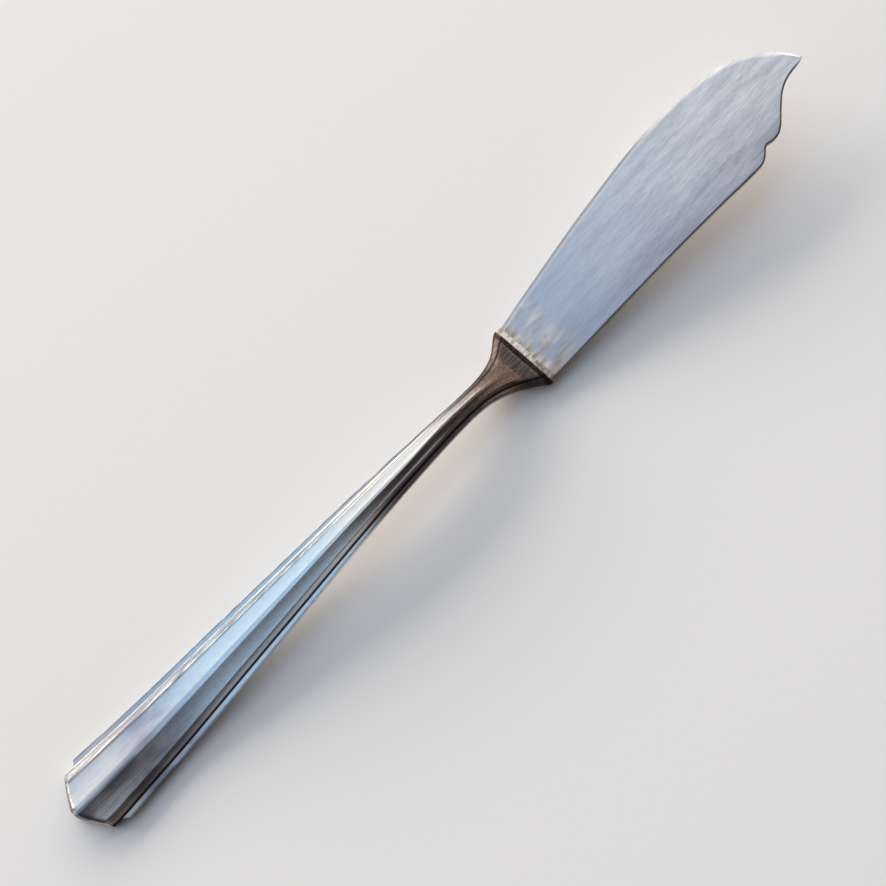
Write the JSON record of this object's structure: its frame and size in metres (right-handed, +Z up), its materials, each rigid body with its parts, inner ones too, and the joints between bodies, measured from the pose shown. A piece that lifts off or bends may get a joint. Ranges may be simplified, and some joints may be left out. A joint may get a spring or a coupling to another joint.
{
  "type": "fish knife",
  "caption": "Silver-plated table knife for fish: tapered fluted handle with a blunt pointed end, arched neck, and a flat, wide, notched blade soldered into its shoulder.",
  "frame": {"origin": "on the table, below the centre of the bounding box of the knife as it lies with its fluted side up", "axes": "+X from the handle's end to the blade's tip, +Y to the belly side of the blade, +Z up from the table"},
  "size_m": [0.205, 0.0226, 0.0135],
  "materials": {
    "silver_plate_handle": "worn silver plate, polished ribs with dark tarnish in the flutes",
    "silver_plate_blade": "worn silver plate, satin with fine lengthwise polishing scratches",
    "solder": "tarnished silver solder"
  },
  "bodies": {
    "root": {"handle": "silver_plate_handle", "blade": "silver_plate_blade", "solder_seam": "solder"}
  },
  "joints": []
}
